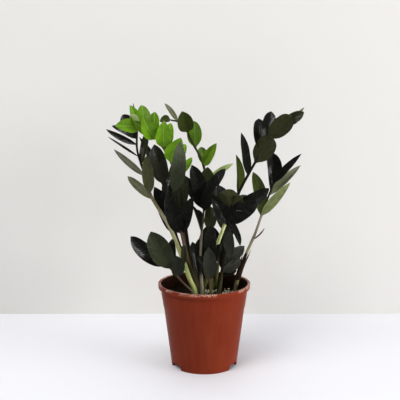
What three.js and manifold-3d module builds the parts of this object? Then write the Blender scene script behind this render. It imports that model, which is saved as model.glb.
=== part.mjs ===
// A ZZ plant (Zamioculcas zamiifolia) in a brown nursery pot.
// Millimetres, +Z up. The pot stands on z = 0 with its axis on Z, and the viewer stands at -Y.
import * as THREE from "three";
import { mergeVertices } from "three/addons/utils/BufferGeometryUtils.js";
import Module from "manifold-3d";

const wasm = await Module();
wasm.setup();

// ---------------------------------------------------------------- driving dimensions
const POT_HEIGHT = 155;
const RIM_RADIUS = 85; // over the rolled lip
const LIP_HEIGHT = 8;
const LIP_TOP_WIDTH = 2.4;
const LIP_ROUND = 1.5; // rounding of the lip's edges
const BAND_RADIUS = 79.3; // outside of the band under the lip
const BAND_BOTTOM = 136;
const SHOULDER_HEIGHT = 110;
const SHOULDER_RADIUS = 74.7;
const SHOULDER_STEP = 0.9; // the band above the shoulder stands out by this much
const SHOULDER_RISE = 2;
const FOOT_RADIUS = 60.7;
const FOOT_WIDTH = 3.7;
const FOOT_SLOPE = 1.5; // the foot ring's inner face leans in by this much
const WALL = 2;
const FLOOR_UNDERSIDE = 4; // the floor plate stands clear of the table inside the foot ring
const FLOOR_THICKNESS = 2.5;
const FLOOR_CORNER = 1; // where the wall meets the floor inside
const POT_SIDES = 36;

const NOTCH_ANGLES = [-59, 64, 184]; // degrees round from the front towards +X
const NOTCH_WIDTH = 31;
const NOTCH_HEIGHT = 9;
const NOTCH_DEPTH = 16; // inwards from the foot's outside

const SOIL_TOP = 133; // in the middle
const SOIL_EDGE_DROP = 2.5;
// The soil's rings: share of its radius, rise over its edge.
const SOIL_RINGS = [[0.8, 0.5], [0.55, 1.5], [0.28, 2.5], [0, 2.5]];
const CLEARANCE = 0.3; // between a stem, the soil, the rhizomes and the pot

const ROOT_END = 103; // how deep the stems reach
const TUBER_HEIGHT = 96; // of the centre of a rhizome's tubers
const OUTER_FROND = "frond_right_outer"; // the one with a dried sheath
const SHEATH_REACH = [160, 206]; // heights of the sheath's ends
const SHEATH_THICKNESS = 1;

const BLADE_MIDRIB = 0.95; // leaflet thickness along its midrib
const BLADE_EDGE = 0.62;
const BLADE_FOLD = 0.16; // rise of a leaflet's edges over its half width
const BLADE_ARCH = 0.05; // rise of the middle of a leaflet over its length
const STEM_SIDES = 6;
const SIMPLEST = 0.02; // joins leave slivers, and corners that move the surface less than this are merged

// The fronds are read off as they are seen from one standing point, on the upright plane through the pot's
// axis, and place() carries each reading along its line of sight to the depth that it is given.
const EYE = new THREE.Vector3(-7.8, -1435, 546);

// ---------------------------------------------------------------- colours
const POT_BROWN = "#7a2d1d";
const SOIL_BROWN = "#1b1410";
const RHIZOME_TAN = "#8a7350";
const DRY_BROWN = "#3b2a1a";
const LIME = "#6b9427";
const MID_GREEN = "#4a6420";
const GREY_GREEN = "#3d4336";
const DARK_GREEN = "#20261a";
const OLIVE_DARK = "#2b2f1c";

// ---------------------------------------------------------------- the fronds
// stem: [x, z, y] from the soil up, as seen from EYE, y being the depth (more is further away).
// thick: the stem's diameter at the soil and at its end.
// leaves: [x, z where it leaves the stem, x, z of its tip, how far its tip leans back, width, turn about
// its own length in degrees (0 shows the upper face to the viewer, 180 the underside), sideways bow].
const FRONDS = {
  frond_left_pale: {
    colour: DARK_GREEN,
    thick: [10, 3],
    stem: [[-17, 138, -35], [-26, 160, -37], [-40, 200, -40], [-64, 260, -44], [-98, 320, -48],
      [-111, 366, -50], [-121, 402, -50], [-120, 440, -48]],
    leaves: [
      [-93, 311, -139, 353, 24, 16, 25, 2],
      [-108, 353, -163, 402, 26, 12, 20, 2],
      [-119, 388, -174, 425, 10, 4.5, 10],
      [-121, 410, -176, 438, 26, 11, -10],
      [-121, 421, -166, 444, 2, 13, 10, -3],
      [-121, 425, -146, 464, 14, 24, 0],
      [-120, 438, -122, 462, 10, 12, 40],
      [-98, 322, -104, 391, -10, 21, 0],
      [-112, 375, -100, 440, 22, 15, -30, -2],
      [-121, 425, -133, 446, 44, 20, 0],
    ],
  },
  frond_left_dark: {
    colour: DARK_GREEN,
    thick: [8, 3],
    stem: [[-14, 138, 12], [-32, 190, 10], [-50, 240, 4], [-64, 285, 0], [-74, 340, 0]],
    leaves: [
      [-51, 245, -91, 334, -16, 31, 0, -4],
      [-71, 345, -90, 411, -12, 31, 10, 1.5],
      [-72, 347, -117, 424, 32, 16, 30],
      [-76, 310, -58, 352, 26, 24, -20],
      [-74, 285, -50, 318, -18, 22, -25],
      [-73, 340, -79, 370, 44, 24, 0],
    ],
  },
  frond_lime: {
    colour: LIME,
    thick: [8.5, 3],
    stem: [[-10, 138, -12], [-20, 180, -18], [-30, 228, -32], [-38, 290, -54], [-50, 350, -72],
      [-70, 398, -80], [-97, 431, -82], [-130, 448, -80]],
    leaves: [
      [-116, 444, -133, 481, -10, 17, 25],
      [-106, 438, -112, 481, 16, 24, 15],
      [-90, 426, -88, 469, 14, 23, -15],
      [-76, 405, -72, 453, -16, 27, 5],
      [-69, 397, -60, 449, 18, 24, -20],
      [-58, 378, -42, 423, -14, 30, 5, 4],
      [-55, 374, -33, 411, 14, 22, -15],
      [-116, 442, -160, 444, -22, 25, 20],
      [-52, 353, -22, 387, 16, 15, -25, -3],
      [-38, 300, -36, 357, -10, 19, 0],
      [-87, 421, -110, 461, -22, 27, 10, 3],
      [-93, 427, -127, 452, -8, 19, 10],
      [-118, 443, -131, 464, -18, 14, 165],
      [-122, 447, -127.5, 485, 14, 4, 30],
      [-75, 404, -74, 432, 46, 22, 0],
      [-94, 428, -103, 450, 42, 20, -10],
    ],
  },
  frond_middle_left: {
    colour: GREY_GREEN,
    thick: [8, 3.5],
    stem: [[-12, 138, -22], [-25, 180, -27], [-38, 230, -56], [-48, 280, -82], [-56, 325, -98]],
    leaves: [
      [-56, 325, -43, 417, -18, 26, -10, -5],
      [-38, 250, -21, 315, -34, 24, -15],
      [-46, 254, -70, 315, 14, 24, 20],
      [-42, 248, -66, 328, -46, 27, 10, 5],
      [-40, 228, -38, 186, -8, 10, 0],
    ],
  },
  frond_green: {
    colour: MID_GREEN,
    thick: [9, 3],
    stem: [[14, 138, 22], [10, 200, 28], [4, 290, 40], [-1, 371, 50], [-22, 415, 54], [-40, 448, 56],
      [-62, 455, 56]],
    leaves: [
      [-47, 456, -71, 484, 10, 10, 25],
      [-61, 455, -80, 452, -14, 14, 10, -3],
      [-35, 431, -40, 470, -26, 30, 5],
      [-15, 406, -19, 453, 22, 28, 0],
      [0, 372, 22, 413, -24, 20, -15],
      [-2, 374, -6, 406, 24, 20, 15],
      [2, 325, 6, 370, -20, 28, 0],
      [2, 340, 52, 376, 20, 14, -30],
      [-35, 431, -38, 452, 44, 22, 0],
      [0, 374, 9, 397, 48, 20, 0],
    ],
  },
  frond_middle: {
    colour: DARK_GREEN,
    thick: [7, 3],
    stem: [[-4, 138, -38], [-6, 180, -40], [-6, 230, -42], [-1, 290, -46], [0, 312, -46]],
    leaves: [
      [-2, 303, -23, 374, -18, 27, 15],
      [-2, 292, -41, 355, 14, 22, 20],
      [1, 290, 24, 356, -16, 24, -15],
      [0, 310, 38, 367, 22, 20, -25],
      [-6, 250, -22, 300, -10, 12, 50],
      [-4, 262, -12, 292, 12, 12, 45],
      [-6, 200, 6, 262, 14, 18, -20],
      [-6, 168, 4, 214, 12, 16, -20],
    ],
  },
  frond_middle_right: {
    colour: DARK_GREEN,
    thick: [7.5, 3.5],
    stem: [[28, 138, -30], [33, 180, -44], [42, 230, -66], [48, 290, -86], [50, 308, -90]],
    leaves: [
      [46, 262, 24, 338, 8, 33, 10, 4],
      [50, 296, 30, 325, -22, 30, 165, 4],
      [50, 300, 69, 313, -20, 18, 170],
      [52, 292, 118, 331, 4, 24, -10, -4],
      [50, 268, 98, 305, -22, 32, -10, 4],
      [47, 272, 66, 224, -12, 13, -40],
      [44, 256, 50, 206, 4, 20, 20],
      [49, 286, 68, 306, 46, 24, 0],
    ],
  },
  frond_right_tall: {
    colour: OLIVE_DARK,
    thick: [8.5, 3],
    stem: [[-4, 133, 4], [4, 160, 2], [23, 224, -6], [50, 295, -16], [70, 338, -22], [91, 377, -26],
      [117, 424, -30], [147, 453, -32]],
    leaves: [
      [63, 318, 57, 392, 20, 18, 35, -3],
      [76, 356, 66, 432, -18, 19, 35, 3],
      [91, 378, 121, 425, -20, 37, 168],
      [103, 398, 97, 457, 36, 25, 5],
      [112, 411, 119, 470, 22, 25, 0],
      [117, 420, 156, 462, -24, 33, 170],
      [145, 449, 178, 477, 8, 9, 30],
      [141, 443, 178, 469, -12, 20, -5],
      [91, 378, 105, 402, 46, 24, 0],
      [117, 421, 133, 441, 44, 24, 0],
    ],
  },
  frond_right_outer: {
    colour: DARK_GREEN,
    thick: [8.5, 3],
    stem: [[57, 138, 2], [70, 190, 4], [93, 247, 8], [108, 292, 11], [126, 342, 14]],
    leaves: [
      [103, 281, 156, 342, -20, 17, -15],
      [116, 318, 174, 373, 20, 15, -20],
      [126, 342, 175, 394, -18, 14, -25],
      [126, 342, 120.5, 397, 12, 26, 0, -4],
      [118, 326, 112, 386, 16, 5, 20],
      [104, 280, 88, 361, 18, 24, 10, -4],
      [89, 236, 110, 257, -4, 5, 50],
      [120, 330, 130, 358, 42, 22, 0],
    ],
  },
  frond_low_left: {
    colour: GREY_GREEN,
    thick: [5, 3.5],
    stem: [[-22, 136, -50], [-30, 145, -54], [-46, 162, -66], [-66, 187, -80]],
    leaves: [
      [-66, 187, -135, 242, 18, 28, 10, 5],
      [-64, 185, -98, 251, -16, 39, 5],
      [-58, 178, -58, 238, 10, 18, -20],
      [-50, 165, -52, 206, -12, 25, 20],
      [-61, 182, -80, 212, 44, 24, 0],
    ],
  },
  frond_low_middle: {
    colour: DARK_GREEN,
    thick: [6, 3],
    stem: [[12, 136, -54], [10, 160, -58], [13, 205, -64], [9, 256, -72]],
    leaves: [
      [10, 160, 8, 222, -14, 25, 10],
      [13, 205, 12, 262, -14, 23, -15],
      [9, 254, 11, 298, 6, 22, 10],
      [12, 178, 28, 228, 10, 18, -25],
      [10, 170, -12, 206, 10, 14, 40],
    ],
  },
  frond_low_back: {
    colour: DARK_GREEN,
    thick: [5.5, 3.5],
    stem: [[-8, 136, 24], [-8, 150, 26], [-8, 172, 30]],
    leaves: [
      [-8, 160, -22, 232, 14, 25, 10],
      [-8, 168, -11, 237, 30, 18, -15],
      [-8, 164, 22, 216, 26, 18, -20],
    ],
  },
  frond_low_right: {
    colour: GREY_GREEN,
    thick: [5.5, 3.5],
    stem: [[30, 136, -8], [33, 170, -12], [37, 192, -18]],
    leaves: [
      [37, 192, 74, 224, -18, 22, -10],
      [34, 176, 66, 202, -16, 22, 20],
      [33, 170, 60, 178, -8, 16, -30],
      [35, 178, 37, 238, -6, 17, 0],
    ],
  },
  frond_back_left: {
    colour: OLIVE_DARK,
    thick: [8, 3],
    stem: [[-14, 138, 46], [-24, 190, 56], [-40, 250, 74], [-60, 330, 98]],
    leaves: [
      [-57, 318, -84, 372, 18, 24, 20],
      [-60, 328, -50, 384, -16, 22, 0],
      [-58, 322, -36, 388, 18, 24, -20],
      [-42, 258, -66, 306, 26, 24, 20],
      [-50, 290, -28, 350, -18, 24, -20],
      [-37, 240, -39, 284, 28, 20, -15],
      [-46, 275, -58, 340, 10, 22, 10],
    ],
  },
  frond_back_right: {
    colour: OLIVE_DARK,
    thick: [8, 3],
    stem: [[20, 138, 48], [26, 190, 60], [36, 250, 80], [45, 302, 100]],
    leaves: [
      [45, 298, 62, 322, 16, 22, -15],
      [42, 285, 28, 336, -16, 24, 15],
      [42, 284, 78, 318, 18, 22, -20],
      [38, 262, 72, 292, -14, 22, -20],
      [36, 252, 24, 292, 26, 20, 20],
      [28, 205, 13, 262, -16, 22, 10],
      [31, 222, 54, 268, 14, 22, -15],
    ],
  },
};

// ---------------------------------------------------------------- solids
// A closed geometry as a solid that can be joined and cut.
function solidOf(geometry) {
  geometry.deleteAttribute("normal");
  geometry.deleteAttribute("uv");
  const merged = mergeVertices(geometry, 1e-4);
  return new wasm.Manifold(
    new wasm.Mesh({
      numProp: 3,
      vertProperties: new Float32Array(merged.attributes.position.array),
      triVerts: new Uint32Array(merged.index.array),
    }),
  );
}

function meshOf(solid, name, colour, roughness) {
  const made = solid.asOriginal().simplify(SIMPLEST).getMesh();
  const geometry = new THREE.BufferGeometry();
  geometry.setAttribute("position", new THREE.BufferAttribute(made.vertProperties, 3));
  geometry.setIndex(new THREE.BufferAttribute(made.triVerts, 1));
  geometry.computeVertexNormals();
  const material = new THREE.MeshStandardMaterial({ color: colour, roughness, metalness: 0 });
  const mesh = new THREE.Mesh(geometry, material);
  mesh.name = name;
  return mesh;
}

// A profile of [radius, height] pairs turned about Z. LatheGeometry turns about Y.
function turned(profile, sides) {
  const points = profile.map(([radius, height]) => new THREE.Vector2(radius, height));
  return new THREE.LatheGeometry(points, sides).rotateX(Math.PI / 2);
}

// Where a reading on the upright plane lies at its depth.
function place(x, z, y) {
  const share = (y - EYE.y) / -EYE.y;
  return new THREE.Vector3(EYE.x + (x - EYE.x) * share, y, EYE.z + (z - EYE.z) * share);
}

// A round bar along a curve, from one radius to another: a cylinder's rings set out along the curve.
function barAlong(curve, steps, startRadius, endRadius) {
  const bar = new THREE.CylinderGeometry(1, 1, 1, STEM_SIDES, steps);
  const frames = curve.computeFrenetFrames(steps);
  const position = bar.attributes.position;
  for (let i = 0; i < position.count; i++) {
    const share = position.getY(i) + 0.5;
    const step = Math.round(share * steps);
    const radius = startRadius + (endRadius - startRadius) * share;
    const at = curve.getPointAt(share);
    at.addScaledVector(frames.normals[step], position.getX(i) * radius);
    at.addScaledVector(frames.binormals[step], -position.getZ(i) * radius);
    position.setXYZ(i, at.x, at.y, at.z);
  }
  return bar;
}

// ---------------------------------------------------------------- a frond
function stemCurve(frond, footHeight = ROOT_END) {
  const points = frond.stem.map(([x, z, y]) => place(x, z, y));
  const foot = points[0].clone().setZ(footHeight);
  return new THREE.CatmullRomCurve3([foot, ...points], false, "centripetal");
}

const stemSteps = (frond) => frond.stem.length + 4;

// The point of the stem, as its straight steps run, that is seen nearest to a reading.
function joint(curve, steps, x, z) {
  const corners = curve.getSpacedPoints(steps);
  let nearest = null;
  let least = Infinity;
  for (let k = 0; k < steps; k++) {
    for (let share = 0; share <= 1; share += 0.05) {
      const point = corners[k].clone().lerp(corners[k + 1], share);
      const distance = place(x, z, point.y).distanceTo(point);
      if (distance < least) {
        least = distance;
        nearest = point;
      }
    }
  }
  return nearest;
}

// Shares of a leaflet's length, and of its full width there.
const BLADE_STATIONS = [0, 0.2, 0.5, 0.8, 1];
const BLADE_WIDTHS = [0.18, 0.8, 1, 0.72, 0.08];

// A leaflet: at each station six points round its section, three on the upper face and three under them.
function leaflet(start, tip, width, turn, bow = 0) {
  const along = tip.clone().sub(start).normalize();
  const length = tip.distanceTo(start);
  const normal = new THREE.Vector3(0, -1, 0);
  normal.addScaledVector(along, -normal.dot(along)).normalize();
  normal.applyAxisAngle(along, THREE.MathUtils.degToRad(turn));
  const side = normal.clone().cross(along);
  const points = [];
  BLADE_STATIONS.forEach((share, k) => {
    const half = (width * BLADE_WIDTHS[k]) / 2;
    const middle = start.clone().lerp(tip, share);
    const swing = 4 * share * (1 - share);
    middle.addScaledVector(normal, BLADE_ARCH * length * swing).addScaledVector(side, bow * swing);
    const section = [
      [-half, half * BLADE_FOLD + BLADE_EDGE / 2],
      [0, BLADE_MIDRIB / 2],
      [half, half * BLADE_FOLD + BLADE_EDGE / 2],
      [half, half * BLADE_FOLD - BLADE_EDGE / 2],
      [0, -BLADE_MIDRIB / 2],
      [-half, half * BLADE_FOLD - BLADE_EDGE / 2],
    ];
    for (const [across, up] of section) {
      const point = middle.clone().addScaledVector(side, across).addScaledVector(normal, up);
      points.push(point.x, point.y, point.z);
    }
  });
  const faces = [];
  for (let k = 0; k + 1 < BLADE_STATIONS.length; k++) {
    for (let i = 0; i < 6; i++) {
      const a = k * 6 + i;
      const b = k * 6 + ((i + 1) % 6);
      const lower = i === 3 || i === 4; // these split like the upper face over them
      if (lower) faces.push(a, a + 6, b, b, a + 6, b + 6);
      else faces.push(a, b + 6, b, a, a + 6, b + 6);
    }
  }
  const last = (BLADE_STATIONS.length - 1) * 6;
  for (const [a, b, c] of [[0, 1, 4], [0, 4, 5], [1, 2, 3], [1, 3, 4]]) {
    faces.push(a, b, c, last + a, last + c, last + b);
  }
  const geometry = new THREE.BufferGeometry();
  geometry.setAttribute("position", new THREE.Float32BufferAttribute(points, 3));
  geometry.setIndex(faces);
  return geometry;
}

function frondSolid(frond) {
  const curve = stemCurve(frond);
  const [foot, end] = frond.thick;
  const steps = stemSteps(frond);
  let solid = solidOf(barAlong(curve, steps, foot / 2, end / 2));
  for (const [x, z, tipX, tipZ, lean, width, turn, bow] of frond.leaves) {
    const start = joint(curve, steps, x, z);
    const tip = place(tipX, tipZ, start.y + lean);
    solid = solid.add(solidOf(leaflet(start, tip, width, turn, bow)));
  }
  return solid;
}

// The plain hole that a stem stands in: the stem itself, a clearance larger all round and at its foot.
function stemHole(frond) {
  const [foot, end] = frond.thick;
  const curve = stemCurve(frond, ROOT_END - CLEARANCE);
  return solidOf(barAlong(curve, stemSteps(frond), foot / 2 + CLEARANCE, end / 2 + CLEARANCE));
}

// ---------------------------------------------------------------- the pot
function potSolid() {
  const lipBottom = POT_HEIGHT - LIP_HEIGHT;
  const inside = BAND_RADIUS - WALL;
  const lipInside = RIM_RADIUS - 1.5 * LIP_ROUND - LIP_TOP_WIDTH;
  const floorTop = FLOOR_UNDERSIDE + FLOOR_THICKNESS;
  const profile = [
    [0, FLOOR_UNDERSIDE],
    [FOOT_RADIUS - FOOT_WIDTH - FOOT_SLOPE, FLOOR_UNDERSIDE],
    [FOOT_RADIUS - FOOT_WIDTH, 0],
    [FOOT_RADIUS, 0],
    [SHOULDER_RADIUS, SHOULDER_HEIGHT],
    [SHOULDER_RADIUS + SHOULDER_STEP, SHOULDER_HEIGHT + SHOULDER_RISE],
    [BAND_RADIUS, BAND_BOTTOM],
    [BAND_RADIUS, lipBottom],
    [RIM_RADIUS - LIP_ROUND / 2, lipBottom],
    [RIM_RADIUS, lipBottom + LIP_ROUND],
    [RIM_RADIUS, POT_HEIGHT - LIP_ROUND],
    [RIM_RADIUS - LIP_ROUND, POT_HEIGHT],
    [lipInside + LIP_ROUND / 2, POT_HEIGHT],
    [lipInside, POT_HEIGHT - LIP_ROUND],
    [inside, lipBottom - LIP_ROUND],
    [inside, BAND_BOTTOM],
    [SHOULDER_RADIUS - WALL, SHOULDER_HEIGHT],
    [FOOT_RADIUS - WALL + FLOOR_CORNER, floorTop + FLOOR_CORNER],
    [FOOT_RADIUS - WALL, floorTop],
    [0, floorTop],
  ];
  let pot = solidOf(turned(profile, POT_SIDES));
  for (const degrees of NOTCH_ANGLES) {
    const block = new THREE.BoxGeometry(NOTCH_WIDTH, 2 * NOTCH_DEPTH, 2 * NOTCH_HEIGHT);
    block.translate(0, -FOOT_RADIUS, 0).rotateZ(THREE.MathUtils.degToRad(degrees));
    pot = pot.subtract(solidOf(block));
  }
  return pot;
}

// ---------------------------------------------------------------- soil and rhizomes
// Low swells of the soil's surface, a few millimetres high.
function swell(x, y) {
  return Math.sin(x / 9 + 1) * Math.cos(y / 11) + 0.8 * Math.sin((x - y) / 15);
}

function soilGeometry() {
  const bottom = FLOOR_UNDERSIDE + FLOOR_THICKNESS + CLEARANCE;
  const edgeTop = SOIL_TOP - SOIL_EDGE_DROP;
  const wallShare = (edgeTop - SHOULDER_HEIGHT) / (BAND_BOTTOM - SHOULDER_HEIGHT);
  const edge = SHOULDER_RADIUS + (BAND_RADIUS - SHOULDER_RADIUS) * wallShare - WALL - CLEARANCE;
  const profile = [
    [0, bottom],
    [FOOT_RADIUS - WALL - CLEARANCE, bottom],
    [FOOT_RADIUS - WALL + FLOOR_CORNER - CLEARANCE, bottom + FLOOR_CORNER + CLEARANCE],
    [SHOULDER_RADIUS - WALL - CLEARANCE, SHOULDER_HEIGHT],
    [edge, edgeTop],
    ...SOIL_RINGS.map(([share, rise]) => [edge * share, edgeTop + rise]),
  ];
  const soil = turned(profile, POT_SIDES);
  const position = soil.attributes.position;
  for (let i = 0; i < position.count; i++) {
    const z = position.getZ(i);
    if (z > edgeTop) position.setZ(i, z + swell(position.getX(i), position.getY(i)));
  }
  return soil;
}

// The tubers that make one rhizome, each a rough ball.
function tuberSolid(tubers, growth) {
  let joined = null;
  for (const [x, y, radius] of tubers) {
    const tuber = new THREE.IcosahedronGeometry(radius + growth, 1);
    tuber.translate(x, y, TUBER_HEIGHT);
    joined = joined ? joined.add(solidOf(tuber)) : solidOf(tuber);
  }
  return joined;
}

// The tubers of each rhizome as [x, y, radius], and the fronds that stand in it.
const RHIZOMES = {
  rhizome_clump: {
    tubers: [[-16, -35, 20], [8, -50, 15], [-10, -4, 18], [-7, 28, 17], [13, 18, 14], [-16, 42, 14]],
    fronds: ["frond_left_pale", "frond_left_dark", "frond_lime", "frond_middle_left", "frond_green",
      "frond_middle", "frond_right_tall", "frond_low_left", "frond_low_middle", "frond_low_back",
      "frond_back_left"],
  },
  rhizome_front: {
    tubers: [[31, -30, 14], [32, -8, 13]],
    fronds: ["frond_middle_right", "frond_low_right"],
  },
  rhizome_back: { tubers: [[22, 50, 14]], fronds: ["frond_back_right"] },
  rhizome_right: { tubers: [[55, 2, 13]], fronds: [OUTER_FROND] },
};

// ---------------------------------------------------------------- the dried sheath
// Half a thin tube that clasps the outer petiole above the rim, open at the back.
function sheathSolid() {
  const frond = FRONDS[OUTER_FROND];
  const curve = stemCurve(frond);
  const [low, high] = SHEATH_REACH;
  const reach = curve.getSpacedPoints(60).filter((point) => point.z > low && point.z < high);
  const part = new THREE.CatmullRomCurve3(reach, false, "centripetal");
  const inside = frond.thick[0] / 2 + CLEARANCE;
  const outer = solidOf(barAlong(part, 6, inside + SHEATH_THICKNESS, inside + SHEATH_THICKNESS));
  const inner = solidOf(barAlong(curve, stemSteps(frond), inside, inside));
  const slot = new THREE.BoxGeometry(high, high, high);
  const middle = part.getPointAt(0.5);
  slot.translate(middle.x, middle.y + high / 2, middle.z);
  return outer.subtract(inner).subtract(solidOf(slot));
}

// ---------------------------------------------------------------- the whole plant
const plant = new THREE.Group();
plant.name = "potted_zz_plant";

plant.add(meshOf(potSolid(), "pot", POT_BROWN, 0.45));

let soil = solidOf(soilGeometry());
for (const [name, { tubers, fronds }] of Object.entries(RHIZOMES)) {
  let rhizome = tuberSolid(tubers, 0);
  soil = soil.subtract(tuberSolid(tubers, 2 * CLEARANCE));
  for (const frondName of fronds) {
    const hole = stemHole(FRONDS[frondName]);
    rhizome = rhizome.subtract(hole);
    soil = soil.subtract(hole);
  }
  plant.add(meshOf(rhizome, name, RHIZOME_TAN, 0.8));
}
plant.add(meshOf(soil, "soil", SOIL_BROWN, 1));

for (const [name, frond] of Object.entries(FRONDS)) {
  plant.add(meshOf(frondSolid(frond), name, frond.colour, 0.3));
}
plant.add(meshOf(sheathSolid(), "sheath_right", DRY_BROWN, 0.85));

export default plant;
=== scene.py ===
# %% [markdown]
# # A potted ZZ plant
# The real thing is a young Zamioculcas zamiifolia in a thin red-brown nursery pot. Fleshy petioles come
# straight out of the potting mix and go on as the rachis of each frond, with thick glossy leaflets along
# both sides. The solids of the same plant come in model.glb. They are loaded first and stay where they
# are. Every finer piece in this lesson is made at their size and in their place.

import math
import random

import bmesh
import bpy
import numpy as np
from mathutils import Matrix, Vector


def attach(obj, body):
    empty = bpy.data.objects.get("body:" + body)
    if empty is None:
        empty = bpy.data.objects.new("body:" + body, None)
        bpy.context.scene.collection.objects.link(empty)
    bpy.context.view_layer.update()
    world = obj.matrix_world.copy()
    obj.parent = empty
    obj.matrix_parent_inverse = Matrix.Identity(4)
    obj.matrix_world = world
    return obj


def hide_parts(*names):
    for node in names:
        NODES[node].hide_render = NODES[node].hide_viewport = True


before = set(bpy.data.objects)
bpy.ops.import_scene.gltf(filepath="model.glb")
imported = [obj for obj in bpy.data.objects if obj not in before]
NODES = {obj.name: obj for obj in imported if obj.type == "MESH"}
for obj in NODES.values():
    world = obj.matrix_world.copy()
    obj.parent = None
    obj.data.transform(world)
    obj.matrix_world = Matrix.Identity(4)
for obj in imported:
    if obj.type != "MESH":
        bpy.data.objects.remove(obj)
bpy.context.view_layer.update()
MM = 0.001


# %% [markdown]
# ## Small helpers
# A colour is picked as a web colour in sRGB, while shader sockets want linear light, so one function turns
# one into the other. One more adds a shader node with its inputs and settings, which keeps each recipe below
# readable. An operator works on everything that is selected, so each step starts from nothing selected.

# %% Colour and nodes
def linear(web_colour):
    """An sRGB web colour as the linear colour that a socket wants."""
    shares = [int(web_colour[i : i + 2], 16) / 255 for i in (1, 3, 5)]
    return (*[c / 12.92 if c <= 0.04045 else ((c + 0.055) / 1.055) ** 2.4 for c in shares], 1.0)


def add(owner, kind, inputs=None, out=0, **settings):
    """Adds a node to a material or the world. Each input, by name or number, takes a value or another node's
    output, and the settings are the node's own. Hands back one of the node's outputs."""
    tree = owner.node_tree
    node = tree.nodes.new("ShaderNode" + kind)
    for name, value in settings.items():
        setattr(node, name, value)
    for name, value in (inputs or {}).items():
        if isinstance(value, bpy.types.NodeSocket):
            tree.links.new(value, node.inputs[name])
        else:
            node.inputs[name].default_value = value
    return node.outputs[out] if node.outputs else None


def mottled(material, where, size, detail, stretch=(1, 1, 1), distortion=0):
    """An uneven pattern with patches of a real size. It runs long on an axis whose stretch is under 1."""
    where = add(material, "Mapping", {"Vector": where, "Scale": stretch})
    patches = {"Vector": where, "Scale": 1 / size, "Detail": detail, "Distortion": distortion}
    return add(material, "TexNoise", patches)


def tinted(material, colour, tint, pattern, low, high, full=1.0):
    """Lays a tint over a colour, more and more as a pattern goes from low to high, up to the full share."""
    share = add(material, "MapRange", {"Value": pattern, "From Min": low, "From Max": high, "To Max": full})
    return add(material, "Mix", {0: share, 6: colour, 7: tint}, out=2, data_type="RGBA")


def new_material(name):
    """A node material with nothing in it yet."""
    material = bpy.data.materials.new(name)
    material.use_nodes = True
    material.node_tree.nodes.clear()
    return material


def finished(material, inputs):
    """Ends a material: its Principled shader with these inputs, on the material's output."""
    shader = add(material, "BsdfPrincipled", inputs)
    add(material, "OutputMaterial", {"Surface": shader})
    print(material.name, "made with", len(material.node_tree.nodes), "nodes")
    return material


# %% Selecting and shaping
def only(*pieces):
    """Selects just these pieces, the first one active, and nothing at all if none is given."""
    if bpy.context.object and bpy.context.object.mode != "OBJECT":
        bpy.ops.object.mode_set(mode="OBJECT")
    bpy.ops.object.select_all(action="DESELECT")
    for piece in pieces:
        piece.select_set(True)
    if pieces:
        bpy.context.view_layer.objects.active = pieces[0]


def place_applied():
    """Puts the active object's place, turn and size into its mesh, and returns it."""
    bpy.ops.object.transform_apply(location=True, rotation=True, scale=True)
    return bpy.context.object


def select_vertices(test):
    """In edit mode, selects just the vertices whose place passes the test."""
    bpy.ops.mesh.select_all(action="DESELECT")
    shape = bmesh.from_edit_mesh(bpy.context.object.data)
    for vertex in shape.verts:
        vertex.select = bool(test(vertex.co))
    shape.select_flush_mode()
    bmesh.update_edit_mesh(bpy.context.object.data)


def modified(piece, kind, **settings):
    """Gives the piece a modifier with these settings, and applies it."""
    modifier = piece.modifiers.new(kind.lower(), kind)
    for name, value in settings.items():
        setattr(modifier, name, value)
    bpy.context.view_layer.objects.active = piece
    bpy.ops.object.modifier_apply(modifier=modifier.name)
    return piece


def own_copy(master):
    """A copy of a piece that has its own mesh."""
    piece = master.copy()
    piece.data = master.data.copy()
    bpy.context.scene.collection.objects.link(piece)
    return piece


def joined(name, pieces):
    """Makes one piece of several."""
    only(*pieces)
    bpy.ops.object.join()
    bpy.context.object.name = name
    return bpy.context.object


def dressed(piece, *materials):
    """Gives the piece just these materials."""
    piece.data.materials.clear()
    for material in materials:
        piece.data.materials.append(material)


def smoothed(piece, degrees):
    """Shades a piece smooth, but for edges that are sharper than this."""
    only(piece)
    bpy.ops.object.shade_smooth_by_angle(angle=math.radians(degrees))


def made_whole(piece):
    """Merges doubled points and turns every face outwards."""
    only(piece)
    bpy.ops.object.mode_set(mode="EDIT")
    bpy.ops.mesh.select_all(action="SELECT")
    bpy.ops.mesh.remove_doubles(threshold=0.001 * MM)
    bpy.ops.mesh.normals_make_consistent(inside=False)
    bpy.ops.object.mode_set(mode="OBJECT")


def fitted(piece, nodes=()):
    """Hangs the piece on the plant's root, so it rides with the plant, and hides the solids it stands for."""
    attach(piece, "root")
    if nodes:
        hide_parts(*nodes)
    print(piece.name, len(piece.data.polygons), "faces")
    return piece


# %% [markdown]
# ## The standing point
# The camera stands where the photographer stood: 1.4 m in front of the pot, a little above the plant, tilted
# down by nine degrees, with a long lens. Each frond was read off from there, as points on the upright plane
# through the pot's axis. place() carries such a point along its line of sight to its own depth, so a frond
# can be given depth without changing the picture.

# %% Camera
EYE = np.array([-7.8, -1435.0, 546.0])  # mm
EYE_TILT = 9.36  # degrees down

camera_data = bpy.data.cameras.new("camera")
camera_data.lens = 72
camera_data.sensor_width = 36
camera = bpy.data.objects.new("camera", camera_data)
camera.location = EYE * MM
camera.rotation_euler = (math.radians(90 - EYE_TILT), 0, 0)
bpy.context.scene.collection.objects.link(camera)
bpy.context.scene.camera = camera
bpy.context.scene.view_settings.view_transform = "Standard"
print("camera at", EYE, "mm, tilted down", EYE_TILT, "degrees")


def place(x, z, y):
    """A point seen at x, z on the upright plane through the pot's axis, at depth y, in mm."""
    share = (y - EYE[1]) / -EYE[1]
    return np.array([EYE[0] + (x - EYE[0]) * share, y, EYE[2] + (z - EYE[2]) * share])


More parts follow.
